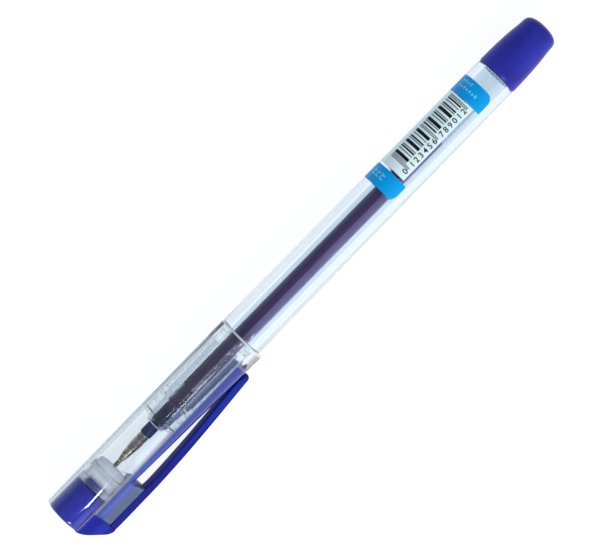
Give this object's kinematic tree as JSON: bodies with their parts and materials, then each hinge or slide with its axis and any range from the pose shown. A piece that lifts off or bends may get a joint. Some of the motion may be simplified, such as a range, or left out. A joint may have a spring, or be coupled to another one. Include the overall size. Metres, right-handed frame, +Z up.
{
  "type": "gel pen",
  "caption": "Capped gel pen with a clear tapered barrel and cap, blue sprung clip and crown, domed end plug, wrapped label and a removable refill.",
  "frame": {"origin": "centre of the bounding box, on the floor that the pen lies on", "axes": "+X along the pen from the crown of the cap to the end plug, +Z up, the clip on the -Y side and low"},
  "size_m": [0.1508, 0.0154, 0.0118],
  "materials": {
    "clear_barrel": "polished clear polystyrene, faint cool tint",
    "violet_plug": "satin moulded plastic, opaque blue-violet",
    "label_film": null,
    "refill_plastic": "translucent polypropylene",
    "tip_holder_plastic": "translucent plastic full of dark ink",
    "point_metal": "turned nickel silver",
    "ball_metal": "polished carbide",
    "gel_ink": "dark violet-blue gel ink",
    "follower_grease": "clear grease",
    "clear_cap": "polished clear plastic",
    "blue_crown": "glossy translucent blue plastic",
    "blue_clip": "glossy translucent blue plastic",
    "seal_rubber": "milky translucent elastomer"
  },
  "bodies": {
    "pen": {"barrel": "clear_barrel", "end_plug": "violet_plug", "label": "label_film", "refill_tube": "refill_plastic", "tip_holder": "tip_holder_plastic", "writing_tip": "point_metal", "ink": "gel_ink"},
    "cap": {"cap_tube": "clear_cap", "cap_crown": "blue_crown", "tip_seal": "seal_rubber"},
    "clip": {"clip_arm": "blue_clip"},
    "ball": {"point_ball": "ball_metal"},
    "follower": {"ink_follower": "follower_grease"}
  },
  "joints": [
    {"name": "cap_pull", "type": "slide", "parent": "pen", "child": "cap", "axis": [-1, 0, 0], "range_m": [0, 0.05]},
    {"name": "clip_flex", "type": "hinge", "parent": "cap", "child": "clip", "pos_m": [-0.05808, -0.00607, 0.00203], "axis": [0, 0.4431, -0.8965], "range_deg": [0, 3.5], "stiffness_Nm_per_rad": 2.2},
    {"name": "ball_spin", "type": "hinge", "parent": "pen", "child": "ball", "pos_m": [-0.05928, 0.00221, 0.00612], "axis": [0, 1, 0], "continuous": true},
    {"name": "follower_advance", "type": "slide", "parent": "pen", "child": "follower", "axis": [-1, 0, 0], "range_m": [0, 0.07], "deforming": ["ink"]}
  ]
}
